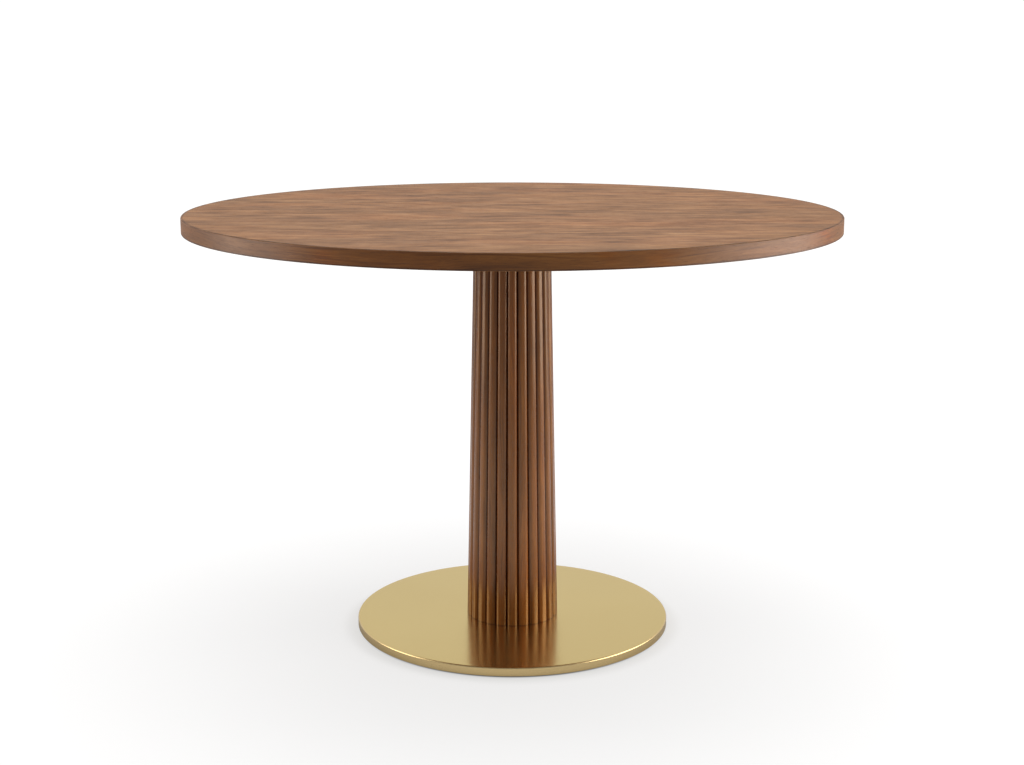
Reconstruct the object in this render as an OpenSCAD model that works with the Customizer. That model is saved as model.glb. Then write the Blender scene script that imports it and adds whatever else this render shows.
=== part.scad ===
// Tilt-top dining table. A round veneered top swings from level to upright on a steel rod,
// over a reeded, tapered column that stands on a heavy disc in a spun brass cover.
// Millimetres: +Z up, +X right, front -Y. The origin is on the floor, under the column's axis.
// The top's back edge goes down as it tilts, and a spring catch at the front locks it level.

/* [Top] */
// Height of the table top above the floor
table_h = 750; // [730:5:770]
// Diameter of the round top
top_d = 1134; // [1050:1:1200]
// Thickness of the top, veneers included
top_t = 26.5; // [25:0.5:30]
// Thickness of each veneer
veneer_t = 0.8; // [0.6:0.1:1.2]
// Width of the solid edge band
band_w = 8; // [5:1:15]
// Radius of the eased upper edge
ease_r = 2; // [1:0.5:3]

/* [Column] */
// Outer radius of the reeded column at its foot
foot_r = 82; // [80:0.5:84]
// Outer radius of the reeded column at its head
head_r = 68; // [66:0.5:68.5]
// Number of reeds
reed_count = 24; // [20:2:28]
// Height of a reed, as a share of the column's radius
reed_share = 0.09; // [0.08:0.01:0.12]
// Gap between reeds, as a share of their pitch
reed_gap = 0.02; // [0.01:0.005:0.05]
// Wall of the hollow core
core_wall = 14; // [12:1:16]

/* [Base] */
// Diameter of the brass disc
base_d = 561; // [540:1:620]
// Height of the disc's upper face above the floor
base_h = 18.3; // [17:0.1:20]
// Radius of the disc's upper edge
base_edge_r = 2.5; // [2:0.5:5]
// Wall of the spun brass cover
cover_t = 1.6; // [1.2:0.1:2]
// Number of floor pads
pad_count = 6; // [5:1:8]
// Height that the weight stands on its pads
pad_proud = 3; // [1.5:0.5:3]

/* [Tilt] */
// Distance of the pivot behind the column's axis
pivot_y = 68; // [66:0.5:70]
// Diameter of the pivot rod
pivot_d = 12; // [11:0.5:13]
// Width of the tilt block
block_w = 148; // [144:1:152]
// Thickness of the tilt block
block_t = 40; // [38:1:42]
// Depth of the bearers under the top
bearer_h = 38; // [36:1:40]
// Width of each bearer
bearer_w = 25; // [22:1:30]
// Angle of the top: 0 is level, 90 is upright
tilt = 0; // [0:5:90]

/* [Catch] */
// Distance that the catch bolt is drawn back
catch_draw = 0; // [0:1:10]

/* [Hidden] */

$fn = 96;
fine = 240;     // facets of the large discs
fit = 0.05;     // radial clearance of a fixed pin, screw or running bore
gap = 0.1;      // clearance between two fixed faces
eps = 1;        // overshoot of a cutting solid

// Screws: length, radius, head radius and head height
foot_screw_size = [58, 3, 6, 4];
bearer_screw_size = [48, 2.5, 5, 3];
rail_screw_size = [32, 2, 4, 2.5];
small_screw_size = [16, 1.5, 3, 1.4];

walnut = "#7a5034";
panel_wood = "#c2a37a";
dark_wood = "#6a432b";
brass = "#c8b07a";
steel = "#9a9da0";
iron = "#4a4c4f";
felt = "#3f4a3f";

// Top
top_r = top_d / 2;
under_z = table_h - top_t;
panel_z = under_z + veneer_t;
panel_t = top_t - 2 * veneer_t;
panel_r = top_r - band_w;
lower_ease = ease_r / 2;

// Tilt block and pivot
block_gap = 1.5;                        // from the block to the underside
block_top = under_z - block_gap;
block_z = block_top - block_t;          // also the head of the column
block_front = 88;                       // the block runs from -88 to the pivot and round it
block_pad_x = 52;
block_pad_y = [-62, 30];
block_pad_r = 7;
block_pad_sunk = 1;
rest_gap = 0.3;                         // from the block's pads to the level top
pivot_z = block_top - block_t / 2;
pivot_r = pivot_d / 2;
side_gap = 0.4;                         // play beside each bearer
washer_t = 1.2;
bearer_x = block_w / 2 + washer_t + side_gap;   // inner face of a bearer
bearer_out = bearer_x + bearer_w;
outer_washer_x = bearer_out + side_gap;
nut_x = outer_washer_x + washer_t;
washer_r = 12;
cap_nut_r = 10.5;                       // across the corners
nut_h = 8;
dome_r = 8;
lock_screw_x = 40;
lock_screw_r = 2.5;
hex_key_r = 1.4;
hex_key_depth = 3;

// Column
column_h = block_z - base_h;
taper = head_r / foot_r;
core_foot_r = foot_r * (1 - reed_share);
core_head_r = head_r * (1 - reed_share);
glue = 0.15;                            // glue line behind a reed
plug_t = 30;
reed_pitch = 360 / reed_count;
reed_half_w = core_foot_r * sin(reed_pitch / 2) * (1 - reed_gap);
reed_rise = foot_r - core_foot_r - glue;
reed_shoulder = 0.3 * reed_rise;        // square side of a reed, behind its crowned face
reed_power = 3;                         // 2 is a parabola, more is flatter
reed_steps = 16;

// Base
base_r = base_d / 2;
weight_top = base_h - cover_t;
cover_lift = 0.5;                       // from the weight's underside to the cover's lower edge
weight_r = base_r - cover_t - 2 * gap;
weight_h = weight_top - pad_proud;
pad_r = 15;
pad_sunk = 3;
pad_ring_r = 245;
foot_screw_ring = core_foot_r - core_wall / 2;
foot_screw_z = pad_proud + 0.3;         // the heads sit inside the weight
dowel_r = 5;
dowel_len = 50;
dowel_ring = core_head_r - core_wall / 2;

// Tie rod, its nuts and washers
rod_r = 6;
rod_hole_r = 6.5;
nut_thick = 6;
nut_r = 10.9;                           // across the corners
rod_washer_r = 18.5;
rod_washer_t = 3;
thread_end = 4;                         // of the rod above its upper nut
pocket_r = 20;
pocket_z = 12;                          // roof of the pocket under the weight
top_pocket_z = block_top - 20;
rod_bottom = pocket_z - rod_washer_t - nut_thick;
rod_top = top_pocket_z + rod_washer_t + nut_thick + thread_end;

// Bearers, their screws and the stop rail
bearer_front = -265;
bearer_back = 325;
bearer_tip_h = 14;
bearer_slope = 90;                      // length of each sloping end
bearer_screw_y = [-160, -45, 130, 220];
bearer_screw_sunk = 6;
bearer_sink_r = 5.5;
bush_r = 9;
rail_front = 113;
rail_w = 25;
rail_h = 18;
rail_len = 2 * (bearer_x - gap);
rail_screw_x = 45;
stop_felt_t = 2;
stop_felt_w = 21;
stop_felt_len = 70;
stop_felt_in = 2;                       // from the rail's front face

// Catch
bolt_z = under_z - 11;                  // the bolt's axis
bolt_w = 14;
bolt_h = 7;
bolt_tip = -81;
bolt_tail = -132;
bolt_play = 0.3;
bevel_len = 8;
bevel_h = 5.5;
tail_r = 2;
tail_end = -156;
case_w = 28;
case_wall = 2;
case_front = -102;
case_back = -152;
case_z = under_z - 20;
plate_t = 2;
plate_w = 40;
plate_front = -91;
plate_back = -166;
plate_screw_x = 12;
plate_screw_y = [-96.5, -159];
knob_y = -118;
stem_r = 2.5;
knob_r = 7;
knob_drop = 11.5;                       // from the case to the foot of the knob
knob_neck = 1;                          // bare stem between the case and the knob
knob_ease = 2;
waist_r = 4;                            // of the groove round the knob
waist_h = 5;
waist_out = 2;                          // of the groove's centre beyond the knob
bolt_travel = 10;
slot_r = stem_r + 0.7;
strike_t = 1.5;
strike_w = 48;
strike_h = 16;
strike_hole_w = bolt_w + 1.2;
strike_hole_h = bolt_h + 2.4;
mortise_end = -74;
strike_screw_x = 18;
wire_r = 0.45;
coil_r = 3.6;
coil_turns = 6.5;
coil_steps = 12;                        // rings in each turn

// ---- Helpers ----

// Solid of a round disc with an eased upper edge, from z to z + h
module eased_section(r, z, h, edge) {
    translate([0, z]) {
        square([r - edge, h]);
        square([r, h - edge]);
        translate([r - edge, h - edge]) circle(edge);
    }
}

// Half-section of the whole top, with an eased edge above and a finer one below
module top_section() {
    intersection() {
        eased_section(top_r, under_z, top_t, ease_r);
        translate([0, 2 * under_z + top_t]) mirror([0, 1])
            eased_section(top_r, under_z, top_t, lower_ease);
    }
}

// One layer of the top, between two radii and two heights
module top_layer(r0, r1, z, h) {
    rotate_extrude($fn = fine) intersection() {
        top_section();
        translate([r0, z]) square([r1 - r0, h]);
    }
}

// Countersunk screw with its head at the origin, pointing along +Z
module screw(size, grow = 0) {
    len = size[0];
    r = size[1];
    tip_h = 2 * r;
    cylinder(h = size[3], r1 = size[2] + grow, r2 = r + grow, $fn = 32);
    cylinder(h = len - tip_h, r = r + grow, $fn = 32);
    translate([0, 0, len - tip_h]) cylinder(h = tip_h, r1 = r + grow, r2 = r / 4 + grow, $fn = 32);
}

// The same screw with a cross recess in its head
module cross_screw(size) {
    arm = 1.1 * size[2];
    slot = 0.22 * size[2];
    depth = 0.6 * size[3];
    difference() {
        screw(size);
        for (a = [0, 90]) rotate(a)
            translate([-arm / 2, -slot / 2, -eps]) cube([arm, slot, eps + depth]);
    }
}

// Copies its children evenly round the column's axis
module ring(count, r, turn = 0) {
    for (k = [0 : count - 1]) rotate(turn + k * 360 / count) translate([r, 0, 0]) children();
}

// Round bar or bore along X, centred on the pivot
module pivot_bar(x0, x1, r) {
    translate([x0, pivot_y, pivot_z]) rotate([0, 90, 0]) cylinder(h = x1 - x0, r = r);
}

// Outline in Y and Z, drawn out along X
module along_x(x0, x1) {
    translate([x0, 0, 0]) rotate([90, 0, 90]) linear_extrude(x1 - x0) children();
}

// Copies its children to both sides
module both_sides() {
    children();
    mirror([1, 0, 0]) children();
}

module swing() {
    translate([0, pivot_y, pivot_z]) rotate([-tilt, 0, 0]) translate([0, -pivot_y, -pivot_z]) children();
}

module drawn() {
    swing() translate([0, -catch_draw, 0]) children();
}

// ---- Base ----

module floor_pads() color(felt)
    ring(pad_count, pad_ring_r, 30) cylinder(h = pad_proud + pad_sunk, r = pad_r);

module foot_screw(grow = 0)
    ring(4, foot_screw_ring, 45) translate([0, 0, foot_screw_z]) screw(foot_screw_size, grow);

module base_weight() color(iron)
    difference() {
        rotate_extrude($fn = fine)
            eased_section(weight_r, pad_proud, weight_h - gap, base_edge_r - cover_t);
        translate([0, 0, -eps]) cylinder(h = base_h + eps, r = rod_hole_r);
        cylinder(h = pocket_z, r = pocket_r);
        ring(pad_count, pad_ring_r, 30) cylinder(h = pad_proud + pad_sunk, r = pad_r + fit);
        foot_screw(fit);
        ring(4, foot_screw_ring, 45) cylinder(h = foot_screw_z + 0.01, r = foot_screw_size[2] + fit);
    }

module base_cover() color(brass)
    difference() {
        rotate_extrude($fn = fine) difference() {
            eased_section(base_r, pad_proud + cover_lift, base_h - pad_proud - cover_lift, base_edge_r);
            eased_section(base_r - cover_t, 0, weight_top, base_edge_r - cover_t);
            square([rod_hole_r, base_h + eps]);
        }
        foot_screw(fit);
    }

module foot_screws() color(steel)
    ring(4, foot_screw_ring, 45) translate([0, 0, foot_screw_z]) cross_screw(foot_screw_size);

// ---- Column ----

// Cone that follows the column's taper, at a share of its radius less a wall
module column_cone(wall, z0, z1) {
    function cone_r(z) = (1 - reed_share) * (foot_r + (head_r - foot_r) * (z - base_h) / column_h) - wall;
    translate([0, 0, z0]) cylinder(h = z1 - z0, r1 = cone_r(z0), r2 = cone_r(z1), $fn = fine);
}

module column_core() color(panel_wood)
    difference() {
        column_cone(0, base_h, block_z);
        column_cone(core_wall, base_h - eps, block_z + eps);
        foot_screw(fit);
        dowels(fit);
    }

module plug(z) color(panel_wood)
    difference() {
        column_cone(core_wall + gap, z, z + plug_t);
        translate([0, 0, z - eps]) cylinder(h = plug_t + 2 * eps, r = rod_hole_r);
    }

module foot_plug() plug(base_h + gap);

module head_plug() plug(block_z - plug_t - gap);

// Outline of one reed: flat back on the Y axis, square shoulders and a crowned face
function reed_outline() = concat(
    [[0, reed_half_w], [0, -reed_half_w]],
    [for (i = [0 : reed_steps])
        let (u = sin(180 * i / reed_steps - 90))
        [reed_rise - (reed_rise - reed_shoulder) * pow(abs(u), reed_power), reed_half_w * u]]
);

module column_reeds() color(walnut)
    translate([0, 0, base_h]) linear_extrude(height = column_h, scale = taper)
        ring(reed_count, core_foot_r + glue, -90) polygon(reed_outline());

module dowels(grow = 0)
    ring(4, dowel_ring, 45) translate([0, 0, block_z - dowel_len / 2 - grow])
        cylinder(h = dowel_len + 2 * grow, r = dowel_r + grow);

module head_dowels() color(dark_wood) dowels();

module tie_rod() color(steel)
    translate([0, 0, rod_bottom]) cylinder(h = rod_top - rod_bottom, r = rod_r);

module tie_rod_washers() color(steel)
    for (z = [pocket_z - rod_washer_t, top_pocket_z]) translate([0, 0, z]) difference() {
        cylinder(h = rod_washer_t, r = rod_washer_r);
        translate([0, 0, -eps]) cylinder(h = rod_washer_t + 2 * eps, r = rod_hole_r);
    }

module tie_rod_nuts() color(steel)
    for (z = [rod_bottom, top_pocket_z + rod_washer_t]) translate([0, 0, z]) difference() {
        cylinder(h = nut_thick, r = nut_r, $fn = 6);
        translate([0, 0, -eps]) cylinder(h = nut_thick + 2 * eps, r = rod_r + fit);
    }

// ---- Tilt block and pivot ----

module block_pad_places()
    for (x = [-block_pad_x, block_pad_x], y = block_pad_y)
        translate([x, y, block_top - block_pad_sunk]) children();

module strike_screw(grow = 0)
    for (x = [-strike_screw_x, strike_screw_x])
        translate([x, -block_front, bolt_z]) rotate([-90, 0, 0]) screw(small_screw_size, grow);

module mortise()
    translate([-strike_hole_w / 2, -block_front - eps, bolt_z - strike_hole_h / 2])
        cube([strike_hole_w, block_front + mortise_end + eps, strike_hole_h]);

module lock_screw_places()
    for (x = [-lock_screw_x, lock_screw_x]) translate([x, pivot_y, block_z]) children();

module tilt_block() color(walnut)
    difference() {
        along_x(-block_w / 2, block_w / 2) {
            translate([-block_front, block_z]) square([block_front + pivot_y, block_t]);
            translate([pivot_y, pivot_z]) circle(block_t / 2);
        }
        pivot_bar(-block_w, block_w, pivot_r + fit);
        translate([0, 0, block_z - eps]) cylinder(h = block_t, r = rod_hole_r);
        translate([0, 0, top_pocket_z]) cylinder(h = block_t, r = pocket_r);
        dowels(fit);
        block_pad_places() cylinder(h = block_pad_sunk + eps, r = block_pad_r + fit);
        lock_screw_places() translate([0, 0, -eps])
            cylinder(h = eps + block_t / 2, r = lock_screw_r + fit);
        mortise();
        translate([-strike_w / 2 - fit, -block_front - eps, bolt_z - strike_h / 2 - fit])
            cube([strike_w + 2 * fit, eps + strike_t, strike_h + 2 * fit]);
        strike_screw(fit);
    }

module block_pads() color(felt)
    block_pad_places() cylinder(h = block_pad_sunk + block_gap - rest_gap, r = block_pad_r);

module strike_plate() color(brass)
    difference() {
        translate([-strike_w / 2, -block_front, bolt_z - strike_h / 2])
            cube([strike_w, strike_t, strike_h]);
        mortise();
        strike_screw(fit);
    }

module strike_screws() color(brass)
    for (x = [-strike_screw_x, strike_screw_x])
        translate([x, -block_front, bolt_z]) rotate([-90, 0, 0]) cross_screw(small_screw_size);

module pivot_rod() color(steel) pivot_bar(-nut_x - nut_h, nut_x + nut_h, pivot_r);

module rod_lock_screws() color(steel)
    lock_screw_places() difference() {
        cylinder(h = block_t / 2 - pivot_r - gap, r = lock_screw_r);
        translate([0, 0, -eps]) cylinder(h = hex_key_depth + eps, r = hex_key_r, $fn = 6);
    }

module pivot_washers() color(brass)
    both_sides() for (x = [block_w / 2, outer_washer_x]) difference() {
        pivot_bar(x, x + washer_t, washer_r);
        pivot_bar(x - eps, x + washer_t + eps, pivot_r + fit);
    }

// Hexagonal nut with a domed cap, closed over the end of the rod
module cap_nut()
    translate([nut_x, pivot_y, pivot_z]) rotate([0, 90, 0]) difference() {
        union() {
            cylinder(h = nut_h, r = cap_nut_r, $fn = 6);
            rotate_extrude() intersection() {
                translate([0, nut_h - 2]) circle(dome_r);
                square([dome_r, nut_h + dome_r]);
            }
        }
        translate([0, 0, -eps]) cylinder(h = nut_h + gap + eps, r = pivot_r + fit);
    }

module pivot_cap_nuts() color(brass) both_sides() cap_nut();

// ---- Top ----

module bearer_screw(grow = 0)
    both_sides() for (y = bearer_screw_y)
        translate([bearer_x + bearer_w / 2, y, under_z - bearer_h + bearer_screw_sunk])
            screw(bearer_screw_size, grow);

module rail_screw(grow = 0)
    both_sides() translate([rail_screw_x, rail_front + rail_w / 2, under_z - rail_h])
        screw(rail_screw_size, grow);

module catch_screw(grow = 0)
    both_sides() for (y = plate_screw_y)
        translate([plate_screw_x, y, under_z - plate_t]) screw(small_screw_size, grow);

module underside_screws() {
    bearer_screw(fit);
    rail_screw(fit);
    catch_screw(fit);
}

module top_panel() color(panel_wood)
    difference() {
        top_layer(0, panel_r, panel_z, panel_t);
        underside_screws();
    }

module edge_band() color(walnut) top_layer(panel_r, top_r, panel_z, panel_t);

module top_veneer() color(walnut) top_layer(0, top_r, table_h - veneer_t, veneer_t);

module backing_veneer() color(walnut)
    difference() {
        top_layer(0, top_r, under_z, veneer_t);
        underside_screws();
    }

module bearer() color(walnut)
    difference() {
        along_x(bearer_x, bearer_out) polygon([
            [bearer_front, under_z],
            [bearer_front, under_z - bearer_tip_h],
            [bearer_front + bearer_slope, under_z - bearer_h],
            [bearer_back - bearer_slope, under_z - bearer_h],
            [bearer_back, under_z - bearer_tip_h],
            [bearer_back, under_z]
        ]);
        pivot_bar(bearer_x - eps, bearer_out + eps, bush_r + fit);
        bearer_screw(fit);
        for (y = bearer_screw_y)
            translate([bearer_x + bearer_w / 2, y, under_z - bearer_h - eps])
                cylinder(h = bearer_screw_sunk + eps, r = bearer_sink_r);
    }

module right_bearer() bearer();

module left_bearer() mirror([1, 0, 0]) bearer();

module bearer_screws() color(steel)
    both_sides() for (y = bearer_screw_y)
        translate([bearer_x + bearer_w / 2, y, under_z - bearer_h + bearer_screw_sunk])
            cross_screw(bearer_screw_size);

module pivot_bushes() color(brass)
    both_sides() difference() {
        pivot_bar(bearer_x, bearer_out, bush_r);
        pivot_bar(bearer_x - eps, bearer_out + eps, pivot_r + fit);
    }

module stop_rail() color(walnut)
    difference() {
        translate([-rail_len / 2, rail_front, under_z - rail_h]) cube([rail_len, rail_w, rail_h]);
        rail_screw(fit);
    }

module stop_rail_screws() color(steel)
    both_sides() translate([rail_screw_x, rail_front + rail_w / 2, under_z - rail_h])
        cross_screw(rail_screw_size);

module stop_felt() color(felt)
    translate([-stop_felt_len / 2, rail_front + stop_felt_in, under_z - rail_h - stop_felt_t])
        cube([stop_felt_len, stop_felt_w, stop_felt_t]);

// ---- Catch ----

module catch_plate() color(brass)
    difference() {
        translate([-plate_w / 2, plate_back, under_z - plate_t])
            cube([plate_w, plate_front - plate_back, plate_t]);
        catch_screw(fit);
    }

module catch_screws() color(brass)
    both_sides() for (y = plate_screw_y)
        translate([plate_screw_x, y, under_z - plate_t]) cross_screw(small_screw_size);

// Box open towards the plate, with a window for the bolt, a slot for the knob's stem
// and a bore for the bolt's tail
module catch_case() color(brass)
    difference() {
        translate([-case_w / 2, case_back, case_z])
            cube([case_w, case_front - case_back, under_z - plate_t - case_z]);
        translate([case_wall - case_w / 2, case_back + case_wall, case_z + case_wall])
            cube([case_w - 2 * case_wall, case_front - case_back - 2 * case_wall, under_z - case_z]);
        translate([-bolt_w / 2 - bolt_play, case_front - 2 * case_wall, bolt_z - bolt_h / 2 - bolt_play])
            cube([bolt_w + 2 * bolt_play, 3 * case_wall, bolt_h + 2 * bolt_play]);
        for (y = [knob_y, knob_y - bolt_travel]) translate([0, y, case_z - eps])
            cylinder(h = case_wall + 2 * eps, r = slot_r, $fn = 32);
        translate([-slot_r, knob_y - bolt_travel, case_z - eps])
            cube([2 * slot_r, bolt_travel, case_wall + 2 * eps]);
        translate([0, case_back - eps, bolt_z]) rotate([-90, 0, 0])
            cylinder(h = case_wall + 2 * eps, r = tail_r + gap);
    }

// Coil spring as a swept tube, from the case's rear wall to the bolt
module catch_spring() {
    first = case_back + case_wall + wire_r + gap;
    last = bolt_tail - wire_r - gap;
    sides = 8;
    rings = ceil(coil_turns * coil_steps);
    points = [
        for (i = [0 : rings], j = [0 : sides - 1])
            let (turn = 360 * coil_turns * i / rings, lean = 360 * j / sides,
                r = coil_r + wire_r * cos(lean))
            [r * cos(turn), first + (last - first) * i / rings + wire_r * sin(lean), bolt_z + r * sin(turn)]
    ];
    sides_list = [
        for (i = [0 : rings - 1], j = [0 : sides - 1])
            let (a = i * sides + j, b = i * sides + (j + 1) % sides)
            [a, b, b + sides, a + sides]
    ];
    start = [for (j = [sides - 1 : -1 : 0]) j];
    end = [for (j = [0 : sides - 1]) rings * sides + j];
    color(steel) polyhedron(points, concat(sides_list, [start, end]), convexity = 8);
}

module catch_bolt() color(brass)
    difference() {
        union() {
            along_x(-bolt_w / 2, bolt_w / 2) polygon([
                [bolt_tail, bolt_z - bolt_h / 2],
                [bolt_tip - bevel_len, bolt_z - bolt_h / 2],
                [bolt_tip, bolt_z - bolt_h / 2 + bevel_h],
                [bolt_tip, bolt_z + bolt_h / 2],
                [bolt_tail, bolt_z + bolt_h / 2]
            ]);
            translate([0, tail_end, bolt_z]) rotate([-90, 0, 0])
                cylinder(h = bolt_tail - tail_end + 1, r = tail_r);
        }
        translate([0, knob_y, bolt_z - bolt_h]) cylinder(h = 2 * bolt_h, r = stem_r + fit);
    }

module catch_knob() color(brass)
    translate([0, knob_y, case_z - knob_drop]) {
        cylinder(h = bolt_z + bolt_h / 2 - case_z + knob_drop, r = stem_r);
        rotate_extrude() difference() {
            eased_section(knob_r, 0, knob_drop - knob_neck, knob_ease);
            translate([knob_r + waist_out, waist_h]) circle(waist_r);
        }
    }

floor_pads();
base_weight();
base_cover();
foot_screws();
column_core();
foot_plug();
head_plug();
column_reeds();
head_dowels();
tie_rod();
tie_rod_washers();
tie_rod_nuts();
tilt_block();
block_pads();
strike_plate();
strike_screws();
pivot_rod();
rod_lock_screws();
pivot_washers();
pivot_cap_nuts();
swing() top_panel();
swing() edge_band();
swing() top_veneer();
swing() backing_veneer();
swing() left_bearer();
swing() right_bearer();
swing() bearer_screws();
swing() pivot_bushes();
swing() stop_rail();
swing() stop_rail_screws();
swing() stop_felt();
swing() catch_plate();
swing() catch_case();
swing() catch_screws();
swing() catch_spring();
drawn() catch_bolt();
drawn() catch_knob();
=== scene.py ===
"""Looks of a tilt-top dining table: walnut top, reeded walnut column, satin brass disc.

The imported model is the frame. Pieces built here stand for CAD nodes one for one and keep
their places and sizes; the nodes that stay are given procedural materials.
All lengths are in metres.
"""

import math
import random

import bmesh
import bpy
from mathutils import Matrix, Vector


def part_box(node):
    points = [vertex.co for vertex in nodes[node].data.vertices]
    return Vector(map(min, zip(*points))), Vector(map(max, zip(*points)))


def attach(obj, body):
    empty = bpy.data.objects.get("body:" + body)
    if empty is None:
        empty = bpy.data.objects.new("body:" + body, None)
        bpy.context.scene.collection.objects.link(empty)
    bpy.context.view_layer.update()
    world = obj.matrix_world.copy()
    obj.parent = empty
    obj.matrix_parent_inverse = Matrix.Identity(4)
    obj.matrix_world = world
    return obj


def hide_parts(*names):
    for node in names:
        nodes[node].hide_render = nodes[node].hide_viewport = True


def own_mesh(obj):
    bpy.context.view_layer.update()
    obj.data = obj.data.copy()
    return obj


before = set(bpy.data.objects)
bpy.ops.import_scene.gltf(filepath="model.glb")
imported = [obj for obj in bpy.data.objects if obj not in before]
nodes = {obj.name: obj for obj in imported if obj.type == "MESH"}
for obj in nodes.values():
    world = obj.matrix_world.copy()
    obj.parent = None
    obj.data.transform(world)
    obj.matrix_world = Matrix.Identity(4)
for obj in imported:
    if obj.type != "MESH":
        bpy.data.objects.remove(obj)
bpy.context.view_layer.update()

# ---- Sizes taken from the frame ----

TOP_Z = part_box("top_veneer")[1].z
VENEER_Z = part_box("top_veneer")[0].z
UNDER_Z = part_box("backing_veneer")[0].z
PANEL_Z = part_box("top_panel")[0].z
TOP_R = -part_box("edge_band")[0].x     # its narrowest side, as the CAD's rim is faceted
PANEL_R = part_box("top_panel")[1].x
EASE = 0.0020           # radius of the rim's upper edge
LOWER_EASE = 0.0010     # and of its lower edge
TOP_SEGMENTS = 720

COLUMN_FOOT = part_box("column_reeds")[0].z
COLUMN_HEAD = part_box("column_reeds")[1].z
FOOT_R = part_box("column_reeds")[1].x
HEAD_R = max(
    math.hypot(v.co.x, v.co.y)
    for v in nodes["column_reeds"].data.vertices
    if v.co.z > COLUMN_HEAD - 0.0001
)
REEDS = 24
REED_SHARE = 0.09       # height of a reed, as a share of the column's radius
REED_GAP = 0.02         # gap between reeds, as a share of their pitch
REED_SHOULDER = 0.3     # square side of a reed, as a share of its height
REED_POWER = 3          # crown of the face: 2 is a parabola, more is flatter
REED_WAVER = 0.0001     # how far a face strays from straight
GLUE = 0.00015          # film between the reeds and the core

BASE_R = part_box("base_cover")[1].x
BASE_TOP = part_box("base_cover")[1].z
BASE_EDGE_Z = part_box("base_cover")[0].z
BASE_EDGE_R = 0.0025    # radius of the disc's upper edge
COVER_T = 0.0016        # thickness of the brass cover
COVER_HOLE_R = 0.0065   # radius of the hole in its middle
COVER_SEGMENTS = 512

SPRING_WIRE = 0.00045   # radius of the wire
SPRING_TURNS = 6.5
SPRING_CLOSING = 0.8    # how far the end coils close up: 0 is an even pitch

# ---- Mesh helpers ----


def new_object(name, verts, faces):
    """Object from points and faces, with outward normals and smooth shading."""
    mesh = bpy.data.meshes.new(name)
    mesh.from_pydata(verts, [], faces)
    bm = bmesh.new()
    bm.from_mesh(mesh)
    bmesh.ops.recalc_face_normals(bm, faces=bm.faces)
    bm.to_mesh(mesh)
    bm.free()
    mesh.shade_smooth()
    obj = bpy.data.objects.new(name, mesh)
    bpy.context.scene.collection.objects.link(obj)
    return obj


def lathe(name, outline, segments):
    """Closed outline of (radius, height) points turned about +Z. A radius of 0 closes on the axis."""
    verts, rings, faces = [], [], []
    for r, z in outline:
        if r == 0:
            rings.append([len(verts)])
            verts.append((0, 0, z))
        else:
            rings.append(list(range(len(verts), len(verts) + segments)))
            verts.extend(
                (r * math.cos(a), r * math.sin(a), z)
                for a in (2 * math.pi * k / segments for k in range(segments))
            )
    pairs = list(zip(rings, rings[1:])) + [(rings[-1], rings[0])]
    for low, high in pairs:
        if len(low) == 1 and len(high) == 1:
            continue
        for k in range(segments):
            n = (k + 1) % segments
            if len(low) == 1:
                faces.append((low[0], high[k], high[n]))
            elif len(high) == 1:
                faces.append((low[k], low[n], high[0]))
            else:
                faces.append((low[k], low[n], high[n], high[k]))
    return new_object(name, verts, faces)


def arc(cx, cz, r, start, end, steps):
    """Points of an arc, in degrees, both ends included."""
    return [
        (cx + r * math.cos(a), cz + r * math.sin(a))
        for a in (math.radians(start + (end - start) * i / steps) for i in range(steps + 1))
    ]


def store(obj, name, values):
    """Point attribute of vectors or numbers, which a material reads by name."""
    kind = "FLOAT_VECTOR" if hasattr(values[0], "__len__") else "FLOAT"
    attribute = obj.data.attributes.new(name, kind, "POINT")
    if kind == "FLOAT":
        attribute.data.foreach_set("value", values)
    else:
        attribute.data.foreach_set("vector", [c for v in values for c in v])


def smooth_by_angle(obj, degrees=35):
    """Flat faces stay flat: edges sharper than this are split in shading."""
    obj.data.set_sharp_from_angle(angle=math.radians(degrees))


def stand_for(obj, body, node, material):
    """obj rides on a body, replaces a CAD node and takes the material given."""
    obj.data.materials.clear()
    obj.data.materials.append(material)
    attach(obj, body)
    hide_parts(node)
    return obj


# ---- Node graph helper ----


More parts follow.
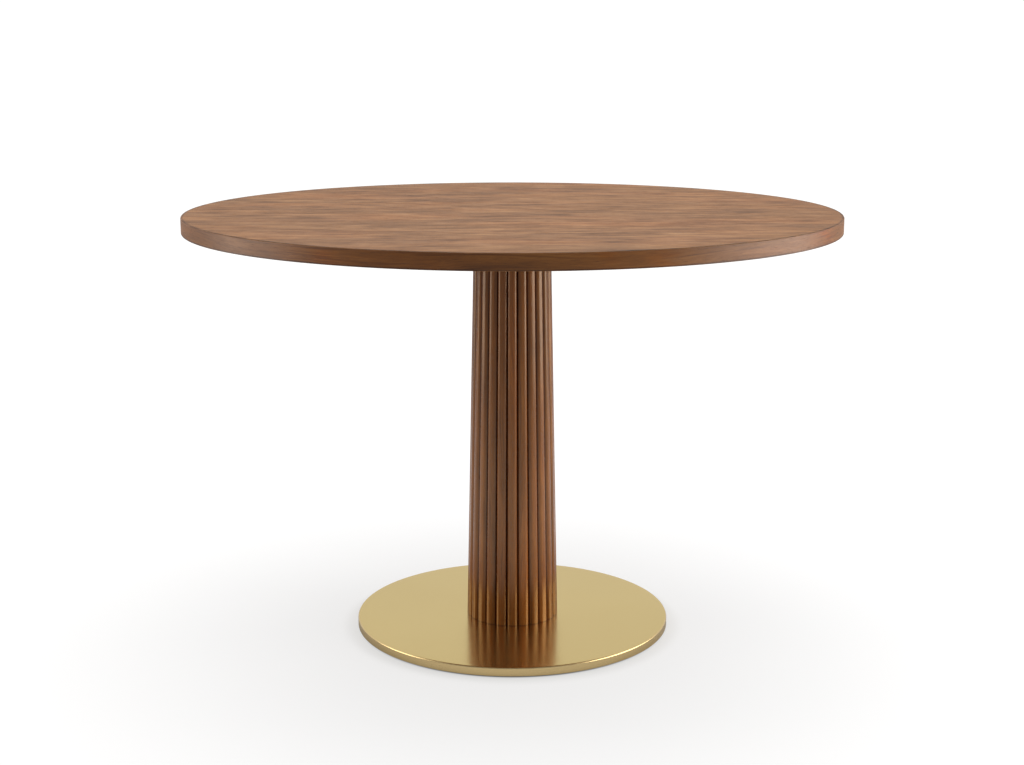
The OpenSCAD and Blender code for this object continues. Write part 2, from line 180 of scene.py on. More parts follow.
class Graph:
    """Short way to write the nodes of a material or a world. Calls return output sockets."""

    def __init__(self, owner, output="ShaderNodeOutputMaterial"):
        owner.use_nodes = True
        self.owner = owner
        self.tree = owner.node_tree
        self.tree.nodes.clear()
        self.out = self.tree.nodes.new(output)

    def node(self, kind, inputs=None, **settings):
        node = self.tree.nodes.new(kind)
        for key, value in settings.items():
            setattr(node, key, value)
        for key, value in (inputs or {}).items():
            if isinstance(value, bpy.types.NodeSocket):
                self.tree.links.new(value, node.inputs[key])
            else:
                node.inputs[key].default_value = value
        return node

    def object_coords(self):
        return self.node("ShaderNodeTexCoord").outputs["Object"]

    def attribute(self, name, output="Vector"):
        return self.node("ShaderNodeAttribute", attribute_name=name).outputs[output]

    def scaled(self, vector, scale, turn=(0, 0, 0)):
        return self.node(
            "ShaderNodeMapping", {"Vector": vector, "Scale": scale, "Rotation": turn}
        ).outputs["Vector"]

    def noise(self, vector, scale=1.0, detail=3.0, roughness=0.5, distortion=0.0):
        inputs = {
            "Vector": vector,
            "Scale": scale,
            "Detail": detail,
            "Roughness": roughness,
            "Distortion": distortion,
        }
        return self.node("ShaderNodeTexNoise", inputs).outputs["Fac"]

    def maths(self, operation, a, b=0.0, c=0.0):
        return self.node("ShaderNodeMath", {0: a, 1: b, 2: c}, operation=operation).outputs[0]

    def vector(self, operation, a, b):
        return self.node("ShaderNodeVectorMath", {0: a, 1: b}, operation=operation).outputs[0]

    def spread(self, value, low, high, to_low=0.0, to_high=1.0, smooth=False):
        kind = "SMOOTHSTEP" if smooth else "LINEAR"
        inputs = {
            "Value": value,
            "From Min": low,
            "From Max": high,
            "To Min": to_low,
            "To Max": to_high,
        }
        return self.node("ShaderNodeMapRange", inputs, interpolation_type=kind).outputs["Result"]

    def combine(self, x=0.0, y=0.0, z=0.0):
        return self.node("ShaderNodeCombineXYZ", {"X": x, "Y": y, "Z": z}).outputs[0]

    def ramp(self, value, stops):
        node = self.node("ShaderNodeValToRGB", {"Fac": value})
        elements = node.color_ramp.elements
        while len(elements) < len(stops):
            elements.new(0.5)
        for element, (place, colour) in zip(elements, stops):
            element.position = place
            element.color = (*colour, 1)
        return node.outputs["Color"]

    def mix(self, share, a, b, blend="MIX"):
        def colour(c):
            return c if isinstance(c, bpy.types.NodeSocket) else (*c, 1)

        node = self.tree.nodes.new("ShaderNodeMix")
        node.data_type = "RGBA"
        node.blend_type = blend
        for key, value in (("Factor_Float", share), ("A_Color", colour(a)), ("B_Color", colour(b))):
            socket = next(s for s in node.inputs if s.identifier == key)
            if isinstance(value, bpy.types.NodeSocket):
                self.tree.links.new(value, socket)
            else:
                socket.default_value = value
        return next(s for s in node.outputs if s.identifier == "Result_Color")

    def bump(self, height, distance, strength=1.0):
        inputs = {"Height": height, "Distance": distance, "Strength": strength}
        return self.node("ShaderNodeBump", inputs).outputs["Normal"]

    def surface(self, **inputs):
        """Principled surface. Keys are socket names with _ for spaces."""
        named = {key.replace("_", " "): value for key, value in inputs.items()}
        shader = self.node("ShaderNodeBsdfPrincipled", named)
        return self.finish(shader.outputs[0])

    def finish(self, shader):
        self.tree.links.new(shader, self.out.inputs["Surface"])
        return self.owner


def material_graph(name):
    return Graph(bpy.data.materials.new(name))


# ---- Materials ----

# Places on the ramp from dark to pale wood, and their colours
WALNUT_STOPS = [
    (0.04, (0.115, 0.0400, 0.0085)),
    (0.33, (0.205, 0.0780, 0.0180)),
    (0.63, (0.280, 0.1120, 0.0280)),
    (0.96, (0.385, 0.1700, 0.0510)),
]
PORE_COLOUR = (0.060, 0.022, 0.008)
WARM_TINT = (1.09, 0.96, 0.84)
COOL_TINT = (0.95, 0.985, 1.02)
VEIN_TINT = (0.62, 0.56, 0.52)
# Colour of the painted shade along the band's and the veneer's edges
EDGE_SHADE_TINT = (0.32, 0.27, 0.25)
# Colour of the painted shade in the reeds' grooves and at their foot
GROOVE_SHADE_TINT = (0.32, 0.17, 0.08)
# Colour of the painted warm light on the band
WARM_LIGHT_TINT = (1.16, 0.87, 0.22)

# Patches of painted warm light on the band: place along the rim, rightwards from its front, reach and
# strength
WARM_LIGHT_PATCHES = [
    (-1.15, 0.08, 0.5), (-0.287, 0.035, 0.55), (0.134, 0.03, 0.35), (0.22, 0.045, 0.5),
    (0.60, 0.07, 0.9), (1.42, 0.07, 0.5),
]


def walnut(
    name, grain, figure=(3.4, 15), streak=(9, 52), line=(10, 170),
    shares=(0.36, 0.32, 0.22, 0.10), rings=0.0, tone=None, contrast=1.0, gloss=0.40, shine=0.5,
    painted_shade=None, painted_shade_tint=EDGE_SHADE_TINT, warm_light=None, stain=(1, 1, 1), sheen_tint=(1, 0.93, 0.82),
):
    """Lacquered walnut. grain(graph) gives coordinates in metres whose X runs along the fibres.

    figure, streak and line are how often per metre each pattern changes, along and across the
    grain. shares are the weights of figure, streak, line and fibre, and rings that of the growth
    rings. painted_shade and warm_light(graph) give shares of painted shade and of painted warm
    light. tone names a number stored on the mesh that shifts the whole colour.
    """
    g = material_graph(name)
    place = grain(g)
    drift = g.noise(g.scaled(place, (1.6, 5.0, 5.0)), detail=2)
    bent = g.vector("ADD", place, g.combine(0.0, g.spread(drift, 0.25, 0.75, -0.02, 0.02), 0.0))
    figured = g.noise(g.scaled(bent, (figure[0], figure[1], figure[1])), detail=2, roughness=0.5)
    streaks = g.noise(g.scaled(bent, (streak[0], streak[1], streak[1])), detail=3, roughness=0.6)
    lines = g.noise(g.scaled(bent, (line[0], line[1], line[1])), detail=3, roughness=0.6)
    fibres = g.noise(g.scaled(bent, (34, 900, 900)), detail=3, roughness=0.6)
    veins = g.spread(g.noise(g.scaled(bent, (6, 230, 230)), detail=2), 0.56, 0.70, smooth=True)
    pores = g.spread(g.noise(g.scaled(bent, (60, 1700, 1700)), detail=1), 0.60, 0.70, smooth=True)
    value = growth_rings(g, bent, rings) if rings else 0.0
    for pattern, share in zip((figured, streaks, lines, fibres), shares):
        value = g.maths("MULTIPLY_ADD", pattern, share, value)
    value = g.spread(value, 0.5 - 0.17 / contrast, 0.5 + 0.17 / contrast)
    if tone:
        value = g.maths("ADD", value, g.spread(g.attribute(tone, "Fac"), 0.0, 1.0, -0.14, 0.14))
    stops = [(p, tuple(c * s for c, s in zip(rgb, stain))) for p, rgb in WALNUT_STOPS]
    colour = g.ramp(value, stops)
    hue = g.noise(g.scaled(place, (2.6, 9.0, 9.0)), detail=2, roughness=0.6)
    colour = g.mix(g.spread(hue, 0.50, 0.72, 0.0, 0.75), colour, WARM_TINT, "MULTIPLY")
    colour = g.mix(g.spread(hue, 0.50, 0.30, 0.0, 0.65), colour, COOL_TINT, "MULTIPLY")
    colour = g.mix(g.maths("MULTIPLY", veins, 0.75), colour, VEIN_TINT, "MULTIPLY")
    colour = g.mix(g.maths("MULTIPLY", pores, 0.50), colour, PORE_COLOUR)
    # Painted warm light and painted shade, multiplied into the wood's colour
    if warm_light:
        colour = g.mix(warm_light(g), colour, WARM_LIGHT_TINT, "MULTIPLY")
    if painted_shade:
        colour = g.mix(painted_shade(g), colour, painted_shade_tint, "MULTIPLY")
    rough = g.maths(
        "ADD", g.spread(streaks, 0.3, 0.7, gloss + 0.05, gloss - 0.03), g.maths("MULTIPLY", pores, 0.1)
    )
    height = g.maths("SUBTRACT", g.maths("MULTIPLY", fibres, 0.35), pores)
    return g.surface(
        Base_Color=colour, Roughness=rough, Normal=g.bump(height, 0.00006, 0.6),
        Specular_IOR_Level=shine, Specular_Tint=(*sheen_tint, 1),
    )


def growth_rings(g, place, share):
    """Bands that follow the growth rings: long, gently arched, wide and narrow by turns."""
    y = g.node("ShaderNodeSeparateXYZ", {"Vector": place}).outputs["Y"]
    arch = g.noise(g.scaled(place, (0.75, 3.0, 3.0)), detail=1)
    tremble = g.noise(g.scaled(place, (7, 34, 34)), detail=2)
    ring = g.maths("MULTIPLY_ADD", arch, 34.0, g.maths("MULTIPLY", y, 110.0))
    ring = g.maths("MULTIPLY_ADD", tremble, 2.4, ring)
    bands = g.node(
        "ShaderNodeTexNoise", {"W": ring, "Scale": 1.0, "Detail": 3.0, "Roughness": 0.65},
        noise_dimensions="1D",
    ).outputs["Fac"]
    return g.maths("MULTIPLY", bands, share)


def along(axis):
    """Grain coordinates for a piece whose fibres run along X, Y or Z."""
    turns = {"X": (0, 0, 0), "Y": (0, 0, -math.pi / 2), "Z": (0, math.pi / 2, 0)}

    def coordinates(g):
        return g.scaled(g.object_coords(), (1, 1, 1), turns[axis])

    return coordinates


def stored_grain(g):
    """Grain coordinates stored on the mesh, where the fibres follow a curve or a tilted reed."""
    return g.attribute("grain")


def band_edge_shade(g):
    """Share of painted shade along the band's lower edge and, faintly, its upper one."""
    height = g.node("ShaderNodeSeparateXYZ", {"Vector": g.object_coords()}).outputs["Z"]
    upper = g.spread(height, TOP_Z - 0.0032, TOP_Z - 0.0022, 0.0, 0.22, smooth=True)
    lower = g.spread(height, UNDER_Z + 0.0034, UNDER_Z + 0.0014, smooth=True)
    broken = g.noise(g.scaled(g.attribute("grain"), (14, 60, 60)), detail=3)
    return g.maths("MULTIPLY", g.maths("ADD", upper, lower), g.spread(broken, 0.3, 0.6, 0.55, 1.0))


def veneer_rim_shade(g):
    """Share of painted shade in a thin line along the rim of the veneer."""
    x, y, _ = g.node("ShaderNodeSeparateXYZ", {"Vector": g.object_coords()}).outputs
    radius = g.node("ShaderNodeVectorMath", {0: g.combine(x, y)}, operation="LENGTH").outputs["Value"]
    line = g.spread(radius, TOP_R - 0.0052, TOP_R - 0.0034, smooth=True)
    broken = g.noise(g.scaled(g.object_coords(), (25, 25, 25)), detail=3)
    return g.maths("MULTIPLY", line, g.spread(broken, 0.3, 0.6, 0.35, 0.8))


def reed_painted_shade(g):
    """Share of painted shade in the grooves, towards the foot and in a line at the foot."""
    groove = g.spread(g.attribute("groove", "Fac"), 0.80, 1.0, smooth=True)
    height = g.node("ShaderNodeSeparateXYZ", {"Vector": g.object_coords()}).outputs["Z"]
    foot = g.spread(height, COLUMN_FOOT + 0.12, COLUMN_FOOT, 0.0, 0.30, smooth=True)
    line = g.spread(height, COLUMN_FOOT + 0.0028, COLUMN_FOOT + 0.0012, 0.0, 0.75, smooth=True)
    return g.maths("MAXIMUM", g.maths("MAXIMUM", groove, foot), line)


def band_warm_light(g):
    """Share of painted warm light in orange patches here and there along the band."""
    arc_length = g.node("ShaderNodeSeparateXYZ", {"Vector": g.attribute("grain")}).outputs["X"]
    share = 0.0
    for middle, reach, strength in WARM_LIGHT_PATCHES:
        away = g.maths("ABSOLUTE", g.maths("SUBTRACT", arc_length, middle))
        share = g.maths("ADD", share, g.spread(away, reach, 0.0, 0.0, strength, smooth=True))
    patchy = g.noise(g.scaled(g.attribute("grain"), (18, 90, 90)), detail=2)
    return g.maths("MULTIPLY", share, g.spread(patchy, 0.35, 0.6))


def satin_brass(name, colour, rough, turned, edge=None):
    """Brass with a fine turned or drawn finish and faint smears. edge is the tint of the disc's rim."""
    g = material_graph(name)
    place = g.object_coords()
    if turned:
        x, y, z = g.node("ShaderNodeSeparateXYZ", {"Vector": place}).outputs
        radius = g.maths(
            "SQRT", g.maths("ADD", g.maths("MULTIPLY", x, x), g.maths("MULTIPLY", y, y))
        )
        lines = g.combine(
            g.maths("MULTIPLY", radius, 2600.0),
            g.maths("MULTIPLY", g.maths("ARCTAN2", y, x), 2.0),
            g.maths("MULTIPLY", z, 2600.0),
        )
    else:
        lines = g.scaled(place, (300, 2400, 2400))
    brushing = g.noise(lines, detail=2, roughness=0.6)
    smears = g.noise(g.scaled(place, (9, 9, 9)), detail=4, roughness=0.55, distortion=0.4)
    cloud = g.noise(g.scaled(place, (3, 3, 3)), detail=2)
    tint = g.mix(g.spread(cloud, 0.35, 0.65, 0.0, 0.35), colour, tuple(c * 0.93 for c in colour))
    tint = g.mix(g.spread(brushing, 0.3, 0.7, 0.0, 0.18), tint, tuple(c * 0.86 for c in colour))
    roughness = g.maths(
        "ADD",
        g.spread(smears, 0.3, 0.75, rough - 0.02, rough + 0.05),
        g.spread(brushing, 0.3, 0.7, -0.015, 0.02),
    )
    if edge:
        rim = g.spread(radius, BASE_R - BASE_EDGE_R, BASE_R - 0.5 * BASE_EDGE_R, smooth=True)
        tint = g.mix(rim, tint, edge)
        roughness = g.maths("MULTIPLY_ADD", rim, 0.05, roughness)
    return g.surface(
        Base_Color=tint, Metallic=1.0, Roughness=roughness, Normal=g.bump(brushing, 0.000004, 0.5)
    )


def plated_steel(name):
    """Zinc-plated steel with a faint cloudy bloom."""
    g = material_graph(name)
    place = g.object_coords()
    grain = g.noise(g.scaled(place, (900, 900, 900)), detail=2)
    cloud = g.noise(g.scaled(place, (60, 60, 60)), detail=3)
    return g.surface(
        Base_Color=g.mix(g.spread(cloud, 0.3, 0.7), (0.50, 0.51, 0.53), (0.62, 0.63, 0.64)),
        Metallic=1.0,
        Roughness=g.spread(cloud, 0.3, 0.7, 0.27, 0.40),
        Normal=g.bump(grain, 0.00001, 0.4),
    )


def painted_iron(name):
    """Cast iron under matt black paint."""
    g = material_graph(name)
    place = g.object_coords()
    grit = g.noise(g.scaled(place, (350, 350, 350)), detail=4)
    cloud = g.noise(g.scaled(place, (12, 12, 12)), detail=3)
    return g.surface(
        Base_Color=g.mix(g.spread(cloud, 0.3, 0.7), (0.018, 0.018, 0.019), (0.032, 0.032, 0.033)),
        Roughness=g.spread(grit, 0.3, 0.7, 0.48, 0.66),
        Normal=g.bump(grit, 0.00015, 0.5),
    )


def wool_felt(name):
    """Dark green-grey felt with clumps and loose fibres."""
    g = material_graph(name)
    place = g.object_coords()
    fuzz = g.noise(g.scaled(place, (1400, 1400, 1400)), detail=4, roughness=0.7, distortion=1.2)
    clumps = g.noise(g.scaled(place, (220, 220, 220)), detail=3)
    shade = g.maths("MULTIPLY_ADD", fuzz, 0.6, g.maths("MULTIPLY", clumps, 0.4))
    return g.surface(
        Base_Color=g.mix(g.spread(shade, 0.35, 0.65), (0.022, 0.026, 0.020), (0.060, 0.068, 0.054)),
        Roughness=0.95,
        Sheen_Weight=0.35,
        Sheen_Roughness=0.5,
        Normal=g.bump(fuzz, 0.0004, 0.7),
    )


def bare_wood(name, pale, dark, grain, shine=0.5):
    """Unlacquered timber or plywood, for the core and what is hidden."""
    g = material_graph(name)
    place = grain(g)
    lines = g.noise(g.scaled(place, (6, 160, 160)), detail=4, roughness=0.6)
    fibres = g.noise(g.scaled(place, (40, 1200, 1200)), detail=2)
    value = g.maths("MULTIPLY_ADD", lines, 0.7, g.maths("MULTIPLY", fibres, 0.3))
    return g.surface(
        Base_Color=g.mix(g.spread(value, 0.35, 0.65), dark, pale),
        Roughness=g.spread(fibres, 0.3, 0.7, 0.62, 0.75),
        Specular_IOR_Level=shine,
        Normal=g.bump(fibres, 0.00008, 0.5),
    )


MATERIALS = {
    "walnut_top": walnut(
        "walnut_top", along("X"), figure=(5.5, 18), streak=(15, 42), line=(8, 260),
        shares=(0.16, 0.32, 0.14, 0.14), rings=0.24, contrast=1.60, gloss=0.46, shine=0.17,
        painted_shade=veneer_rim_shade, stain=(0.925, 0.995, 1.12),
    ),
    "walnut_under": walnut(
        "walnut_under", along("X"), figure=(2.8, 12), streak=(6, 52), line=(6, 280),
        shares=(0.13, 0.20, 0.20, 0.15), rings=0.32, contrast=1.30, gloss=0.50, shine=0.25,
    ),
    "walnut_band": walnut(
        "walnut_band", stored_grain, figure=(2.5, 30), line=(12, 320), gloss=0.38, shine=0.52,
        painted_shade=band_edge_shade, warm_light=band_warm_light, stain=(1.10, 1.00, 0.80), sheen_tint=(1, 1, 0.96),
    ),
    "walnut_reeds": walnut(
        "walnut_reeds", stored_grain, figure=(2.2, 30), line=(8, 300), tone="tone", gloss=0.20,
        shine=0.84, stain=(1.13, 0.87, 0.49), sheen_tint=(1, 0.82, 0.60),
        painted_shade=reed_painted_shade, painted_shade_tint=GROOVE_SHADE_TINT,
    ),
    "walnut_y": walnut(
        "walnut_y", along("Y"), figure=(2.6, 26), streak=(5, 90), line=(7, 420), contrast=1.25,
        gloss=0.42,
    ),
    "walnut_x": walnut(
        "walnut_x", along("X"), figure=(2.6, 26), streak=(5, 90), line=(7, 420), contrast=1.25,
        gloss=0.42,
    ),
    "brass_disc": satin_brass(
        "brass_disc", (0.86, 0.647, 0.250), 0.19, True, edge=(0.84, 0.63, 0.31)
    ),
    "brass_fittings": satin_brass("brass_fittings", (0.90, 0.70, 0.32), 0.24, False),
    "steel": plated_steel("steel_plated"),
    "iron": painted_iron("iron_painted"),
    "felt": wool_felt("felt_wool"),
    "stained": bare_wood(
        "stained_core", (0.085, 0.026, 0.005), (0.045, 0.013, 0.002), along("Z"), shine=0.15
    ),
    "plywood": bare_wood("plywood", (0.52, 0.37, 0.20), (0.40, 0.27, 0.14), along("X")),
}

# ---- Camera ----

CAMERA_LENS = 58.108        # millimetres, on a 36 mm sensor
CAMERA_PLACE = (-0.0006, -2.8741, 1.0497)
CAMERA_DOWN = 11.885        # degrees below level


def make_camera():
    """Camera in front of the table, a little above the top and looking slightly down."""
    data = bpy.data.cameras.new("camera")
    data.lens = CAMERA_LENS
    data.sensor_width = 36.0
    camera = bpy.data.objects.new("camera", data)
    camera.location = CAMERA_PLACE
    camera.rotation_euler = (math.radians(90 - CAMERA_DOWN), 0, 0)
    bpy.context.scene.collection.objects.link(camera)
    bpy.context.scene.camera = camera


# ---- Pieces ----


def build_top():
    """Veneers and edge band, turned to the eased section of the CAD top."""
    upper = arc(TOP_R - EASE, TOP_Z - EASE, EASE, 90, 0, 10)
    in_veneer = [p for p in upper if p[1] > VENEER_Z]
    split = math.sqrt(EASE**2 - (VENEER_Z - TOP_Z + EASE) ** 2) + TOP_R - EASE
    rings = [(r * (TOP_R - EASE) / 12, TOP_Z) for r in range(12)]
    sheet = lathe(
        "top_sheet", [(0, VENEER_Z)] + rings + in_veneer + [(split, VENEER_Z)],
        TOP_SEGMENTS,
    )
    smooth_by_angle(sheet)
    stand_for(sheet, "tabletop", "top_veneer", MATERIALS["walnut_top"])

    lower = arc(TOP_R - LOWER_EASE, UNDER_Z + LOWER_EASE, LOWER_EASE, 0, -90, 6)
    band_low = [p for p in lower if p[1] > PANEL_Z]
    low_r = TOP_R - LOWER_EASE + math.sqrt(
        LOWER_EASE**2 - (PANEL_Z - UNDER_Z - LOWER_EASE) ** 2
    )
    band = lathe(
        "edge_lipping",
        [(PANEL_R, VENEER_Z), (split, VENEER_Z)]
        + [p for p in upper if p[1] < VENEER_Z]
        + band_low
        + [(low_r, PANEL_Z), (PANEL_R, PANEL_Z)],
        TOP_SEGMENTS,
    )
    smooth_by_angle(band)
    wrap_grain(band, TOP_R)
    stand_for(band, "tabletop", "edge_band", MATERIALS["walnut_band"])

    backing = lathe(
        "backing_sheet",
        [(0, UNDER_Z)]
        + [p for p in reversed(lower) if p[1] < PANEL_Z]
        + [(low_r, PANEL_Z), (0, PANEL_Z)],
        TOP_SEGMENTS,
    )
    smooth_by_angle(backing)
    stand_for(backing, "tabletop", "backing_veneer", MATERIALS["walnut_under"])


def wrap_grain(obj, radius):
    """Grain that runs round the axis: arc length, height and depth, with its joint at the back."""
    corners = obj.data.attributes.new("grain", "FLOAT_VECTOR", "CORNER")
    values = []
    for face in obj.data.polygons:
        angles = []
        for index in face.vertices:
            p = obj.data.vertices[index].co
            angles.append(math.atan2(p.x, -p.y))
        if max(angles) - min(angles) > math.pi:
            angles = [a + 2 * math.pi if a < 0 else a for a in angles]
        for a, index in zip(angles, face.vertices):
            p = obj.data.vertices[index].co
            values.extend((a * radius, p.z, math.hypot(p.x, p.y)))
    corners.data.foreach_set("vector", values)


def reed_section(core, outer, steps):
    """Crowned face of a reed between its shoulders: (height above the axis, offset across)."""
    half = core * math.sin(math.pi / REEDS) * (1 - REED_GAP)
    rise = outer - core - GLUE
    crown = rise * (1 - REED_SHOULDER)
    points = []
    for i in range(steps + 1):
        u = math.sin(math.pi * (i / steps - 0.5))
        points.append((outer - crown * abs(u) ** REED_POWER, half * u))
    return points


def build_reeds():
    """Tapered reeds, very slightly uneven along their length, each with its own grain and tone."""
    rng = random.Random(24)
    steps, rows = 32, 48
    verts, faces, grain, tones, grooves = [], [], [], [], []
    for k in range(REEDS):
        facing = 2 * math.pi * k / REEDS - math.pi / 2
        tone = rng.random()
        shift = Vector((rng.uniform(0, 9), rng.uniform(0, 9), rng.uniform(0, 9)))
        waves = [(rng.uniform(2, 7), rng.uniform(0, 6.3), rng.uniform(0.3, 1.0)) for _ in range(3)]
        start = len(verts)
        for row in range(rows + 1):
            share = row / rows
            z = COLUMN_FOOT + share * (COLUMN_HEAD - COLUMN_FOOT)
            outer = FOOT_R + share * (HEAD_R - FOOT_R)
            core = outer * (1 - REED_SHARE)
            wave = sum(h * math.sin(f * 2 * math.pi * share + p) for f, p, h in waves) / 2
            section = reed_section(core, outer, steps)
            half = section[-1][1]
            points = [(core + GLUE, -half)] + section + [(core + GLUE, half)]
            for out, across in points:
                middle = 1 - (across / half) ** 2
                out -= REED_WAVER * abs(wave) * middle
                side = across + REED_WAVER * wave * middle
                verts.append(
                    (
                        out * math.cos(facing) - side * math.sin(facing),
                        out * math.sin(facing) + side * math.cos(facing),
                        z,
                    )
                )
                grain.append((z + shift.x, across * 1.3 + shift.y, out + shift.z))
                tones.append(tone)
                grooves.append(abs(across) / half)
        wide = steps + 3
        for row in range(rows):
            low, high = start + row * wide, start + (row + 1) * wide
            for i in range(wide):
                n = (i + 1) % wide
                faces.append((low + i, low + n, high + n, high + i))
        faces.append(tuple(range(start, start + wide)))
        faces.append(tuple(range(start + rows * wide, start + (rows + 1) * wide)))
    reeds = new_object("reed_strips", verts, faces)
    smooth_by_angle(reeds, 40)
    store(reeds, "grain", grain)
    store(reeds, "tone", tones)
    # How near each point lies to a groove, read by the painted shade in the grooves
    store(reeds, "groove", grooves)
    stand_for(reeds, "pedestal", "column_reeds", MATERIALS["walnut_reeds"])


def build_base_cover():
    """Spun brass cover: a flat pan with a rounded upper edge, open below."""
    inner_edge = BASE_EDGE_R - COVER_T
    outline = [(COVER_HOLE_R, BASE_TOP)]
    outline += [(BASE_R * s, BASE_TOP) for s in (0.25, 0.31, 0.5, 0.75, 0.95)]
    outline += arc(BASE_R - BASE_EDGE_R, BASE_TOP - BASE_EDGE_R, BASE_EDGE_R, 90, 0, 14)
    outline += [(BASE_R, BASE_EDGE_Z), (BASE_R - COVER_T, BASE_EDGE_Z)]
    outline += arc(BASE_R - BASE_EDGE_R, BASE_TOP - BASE_EDGE_R, inner_edge, 0, 90, 8)
    outline += [(COVER_HOLE_R, BASE_TOP - COVER_T)]
    cover = lathe("brass_cover", outline, COVER_SEGMENTS)
    smooth_by_angle(cover)
    stand_for(cover, "pedestal", "base_cover", MATERIALS["brass_disc"])


def eased_piece(name, node, body, material, width, segments=3, sharp=28):
    """Copy of a CAD node with flat faces made whole and its edges rounded."""
    bm = bmesh.new()
    bm.from_mesh(nodes[node].data)
    bmesh.ops.remove_doubles(bm, verts=bm.verts, dist=1e-6)
    bmesh.ops.dissolve_limit(bm, angle_limit=math.radians(0.5), verts=bm.verts, edges=bm.edges)
    edges = [
        e for e in bm.edges if e.is_manifold and e.calc_face_angle(0) > math.radians(sharp)
    ]
    bmesh.ops.bevel(
        bm, geom=edges, offset=width, segments=segments, profile=0.5, affect="EDGES",
        clamp_overlap=True,
    )
    mesh = bpy.data.meshes.new(name)
    bm.to_mesh(mesh)
    bm.free()
    mesh.shade_smooth()
    obj = bpy.data.objects.new(name, mesh)
    bpy.context.scene.collection.objects.link(obj)
    smooth_by_angle(obj, 40)
    return stand_for(obj, body, node, material)


def build_fittings():
    """Bearers, block, catch and hardware: the CAD shapes with eased edges."""
    wood, brass = ("walnut", "walnut_y"), ("brass_fittings", "brass_fittings")
    cross, steel, felt = ("walnut", "walnut_x"), ("steel", "steel"), ("felt", "felt")
    for name, node, body, (slot, finish), width in (
        ("bearer_left", "left_bearer", "tabletop", wood, 0.0014),
        ("bearer_right", "right_bearer", "tabletop", wood, 0.0014),
        ("column_block", "tilt_block", "pedestal", cross, 0.0012),
        ("rest_rail", "stop_rail", "tabletop", cross, 0.0012),
        ("latch_plate", "catch_plate", "tabletop", brass, 0.0004),
        ("latch_case", "catch_case", "tabletop", brass, 0.0006),
        ("latch_screws", "catch_screws", "tabletop", brass, 0.00015),
        ("latch_bolt", "catch_bolt", "catch_bolt", brass, 0.0004),
        ("latch_knob", "catch_knob", "catch_bolt", brass, 0.0004),
        ("keeper_plate", "strike_plate", "pedestal", brass, 0.0003),
        ("keeper_screws", "strike_screws", "pedestal", brass, 0.00015),
        ("hinge_nuts", "pivot_cap_nuts", "pedestal", brass, 0.0004),
        ("hinge_washers", "pivot_washers", "pedestal", brass, 0.0002),
        ("hinge_bushes", "pivot_bushes", "tabletop", brass, 0.0002),
        ("hinge_rod", "pivot_rod", "pedestal", steel, 0.0004),
        ("bearer_fixings", "bearer_screws", "tabletop", steel, 0.0002),
        ("rail_fixings", "stop_rail_screws", "tabletop", steel, 0.0002),
        ("rest_felt", "stop_felt", "tabletop", felt, 0.0007),
        ("block_felts", "block_pads", "pedestal", felt, 0.0005),
        ("floor_felts", "floor_pads", "pedestal", felt, 0.0010),
    ):
        eased_piece(name, node, body, MATERIALS[finish], width)


def build_spring():
    """Compression spring round the bolt's tail, its end coils closed. On the real catch the bolt
    squeezes it; here it keeps one length.
    """
    low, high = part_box("catch_spring")
    axis_x, axis_z = (low.x + high.x) / 2, (low.z + high.z) / 2
    radius = (high.x - low.x) / 2 - SPRING_WIRE
    start, end = low.y + SPRING_WIRE, high.y - SPRING_WIRE
    steps, sides = 48 * 9, 12
    verts, faces = [], []
    for i in range(steps + 1):
        share = i / steps
        angle = 2 * math.pi * SPRING_TURNS * share
        eased = share - SPRING_CLOSING * math.sin(2 * math.pi * share) / (2 * math.pi)
        middle = Vector(
            (axis_x + radius * math.cos(angle), start + (end - start) * eased,
             axis_z + radius * math.sin(angle))
        )
        out = Vector((math.cos(angle), 0, math.sin(angle)))
        for k in range(sides):
            turn = 2 * math.pi * k / sides
            verts.append(
                middle + SPRING_WIRE * (math.cos(turn) * out + math.sin(turn) * Vector((0, 1, 0)))
            )
    for i in range(steps):
        for k in range(sides):
            n = (k + 1) % sides
            low_i, high_i = i * sides, (i + 1) * sides
            faces.append((low_i + k, low_i + n, high_i + n, high_i + k))
    faces.append(tuple(range(sides)))
    faces.append(tuple(range(steps * sides, (steps + 1) * sides)))
    spring = new_object("latch_spring", verts, faces)
    smooth_by_angle(spring, 50)
    stand_for(spring, "tabletop", "catch_spring", MATERIALS["steel"])
    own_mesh(spring)


def dress_nodes():
    """Materials of the CAD nodes that stay. All but the core are hidden inside or underneath."""
    finishes = {
        "plywood": ["top_panel", "foot_plug", "head_plug", "head_dowels"],
        "stained": ["column_core"],
        "iron": ["base_weight"],
        "steel": [
            "foot_screws", "tie_rod", "tie_rod_washers", "tie_rod_nuts", "rod_lock_screws",
        ],
    }
    for finish, names in finishes.items():
        for name in names:
            for material_slot in nodes[name].material_slots:
                material_slot.material = MATERIALS[finish]


# ---- Stage and light ----

BEHIND, FRONT_LOW, FRONT_HIGH = 0.69, 0.05, 0.29     # radiance of the surroundings
BACKDROP = 1.05         # and of what the camera sees of them
FLOOR_REACH = 30.0
FLOOR_GREY = 0.26       # colour of the floor where light falls on it
FLOOR_BOUNCE = 0.06     # glow that it lends to matt surfaces


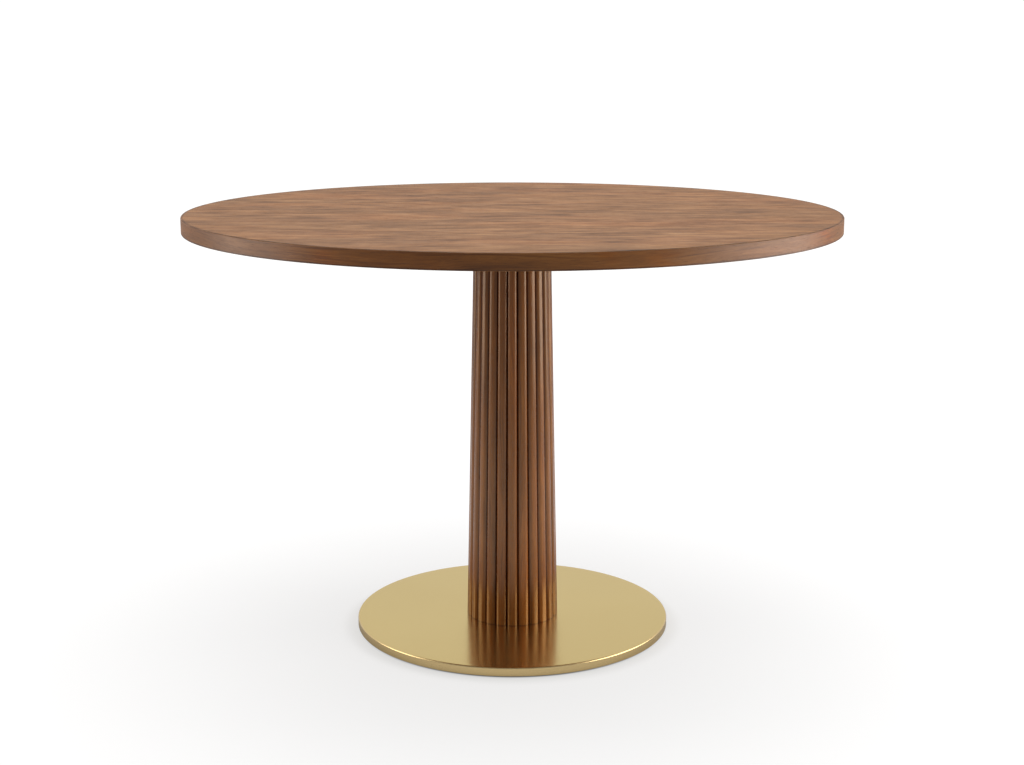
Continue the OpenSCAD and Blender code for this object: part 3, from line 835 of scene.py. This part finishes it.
def build_floor():
    """Floor that is partly lit and partly glows, so that it fades to white away from the table."""
    floor = new_object(
        "floor",
        [(x * FLOOR_REACH, y * FLOOR_REACH, 0) for x, y in ((-1, -1), (1, -1), (1, 1), (-1, 1))],
        [(0, 1, 2, 3)],
    )
    g = material_graph("pale_floor")
    place = g.object_coords()
    distance = g.node("ShaderNodeVectorMath", {0: place}, operation="LENGTH").outputs["Value"]
    aside = g.maths("ABSOLUTE", g.node("ShaderNodeSeparateXYZ", {0: place}).outputs["X"])
    rays = g.node("ShaderNodeLightPath").outputs
    strength = g.maths("MULTIPLY", rays["Is Camera Ray"], floor_seen(g, distance))
    strength = g.maths(
        "MULTIPLY_ADD", rays["Is Glossy Ray"], floor_mirrored(g, distance, aside), strength
    )
    strength = g.maths("MULTIPLY_ADD", rays["Is Diffuse Ray"], FLOOR_BOUNCE, strength)
    glow = g.node("ShaderNodeEmission", {"Color": (1, 1, 1, 1), "Strength": strength})
    shade = g.node("ShaderNodeBsdfDiffuse", {"Color": (FLOOR_GREY, FLOOR_GREY, FLOOR_GREY, 1)})
    both = g.node("ShaderNodeAddShader", {0: glow.outputs[0], 1: shade.outputs[0]})
    floor.data.materials.append(g.finish(both.outputs[0]))


def floor_seen(g, distance):
    """Glow of the floor itself: a painted shadow under the disc, a soft painted contact shadow, then up
    to white.
    """
    clear = g.spread(distance, BASE_R - 0.009, BASE_R - 0.001, 0.0, 1.0, smooth=True)
    contact = g.spread(distance, BASE_R - 0.001, BASE_R + 0.035, 0.87, 1.0, smooth=True)
    white = g.maths("MULTIPLY", g.spread(distance, 0.35, 3.2, 0.70, 0.95), clear)
    return g.maths("MULTIPLY", white, contact)


def floor_mirrored(g, distance, aside):
    """Glow of the floor as the table mirrors it: dimmer near the disc, beside it and far off."""
    near = g.spread(distance, BASE_R, BASE_R + 0.35, 0.33, 0.74)
    foot = g.spread(distance, BASE_R, BASE_R + 0.022, 0.55, 1.0)
    sides = g.maths(
        "MULTIPLY", g.spread(aside, 0.15, 0.29, 0.0, 0.30), g.spread(distance, 0.45, 0.7, 1.0, 0.0)
    )
    far = g.maths("MULTIPLY", g.spread(distance, 0.9, 2.8, 1.0, 0.3), near)
    return g.maths("MULTIPLY", far, g.maths("MULTIPLY", foot, g.maths("SUBTRACT", 1.0, sides)))


def area_light(name, place, target, width, height, radiance, colour=(1, 1, 1)):
    """Soft box of a given radiance, facing a target."""
    data = bpy.data.lights.new(name, "AREA")
    data.shape = "RECTANGLE"
    data.size, data.size_y = width, height
    data.energy = radiance * math.pi * width * height
    data.color = colour
    light = bpy.data.objects.new(name, data)
    light.location = place
    light.rotation_euler = (Vector(target) - Vector(place)).to_track_quat("-Z", "Y").to_euler()
    light.visible_camera = False
    bpy.context.scene.collection.objects.link(light)


def build_light():
    """A softbox on each side, the right one wider and brighter, and one overhead."""
    area_light(
        "right_softbox", (2.3, -0.35, 1.15), (0, -0.35, 1.15), 2.2, 2.2, 2.95, (1.0, 0.985, 0.95)
    )
    area_light(
        "left_softbox", (-2.3, -0.22, 1.15), (0, -0.22, 1.15), 1.45, 2.2, 2.05, (1.0, 0.96, 0.90)
    )
    area_light("overhead_softbox", (0, 0.5, 3.2), (0, 0.3, 0.7), 3.2, 2.8, 2.55)


def build_world():
    """White to the camera. As light: bright behind, and in front a dark band under a dim ceiling."""
    world = bpy.data.worlds.new("studio")
    bpy.context.scene.world = world
    g = Graph(world, "ShaderNodeOutputWorld")
    direction = g.node("ShaderNodeTexCoord").outputs["Generated"]
    _, y, z = g.node("ShaderNodeSeparateXYZ", {"Vector": direction}).outputs
    front = g.spread(z, 0.05, 0.22, FRONT_LOW, FRONT_HIGH, smooth=True)
    behind = g.spread(y, -0.55, 0.55, smooth=True)
    ahead = g.maths("MULTIPLY", g.maths("SUBTRACT", 1.0, behind), front)
    lit = g.maths("ADD", ahead, g.maths("MULTIPLY", behind, BEHIND))
    seen = g.node("ShaderNodeLightPath").outputs["Is Camera Ray"]
    strength = g.spread(seen, 0.0, 1.0, lit, BACKDROP)
    glow = g.node("ShaderNodeBackground", {"Color": (1, 1, 1, 1), "Strength": strength})
    g.finish(glow.outputs[0])


make_camera()
build_top()
build_reeds()
build_base_cover()
build_fittings()
build_spring()
dress_nodes()
build_floor()
build_light()
build_world()
bpy.context.scene.view_settings.view_transform = "Standard"
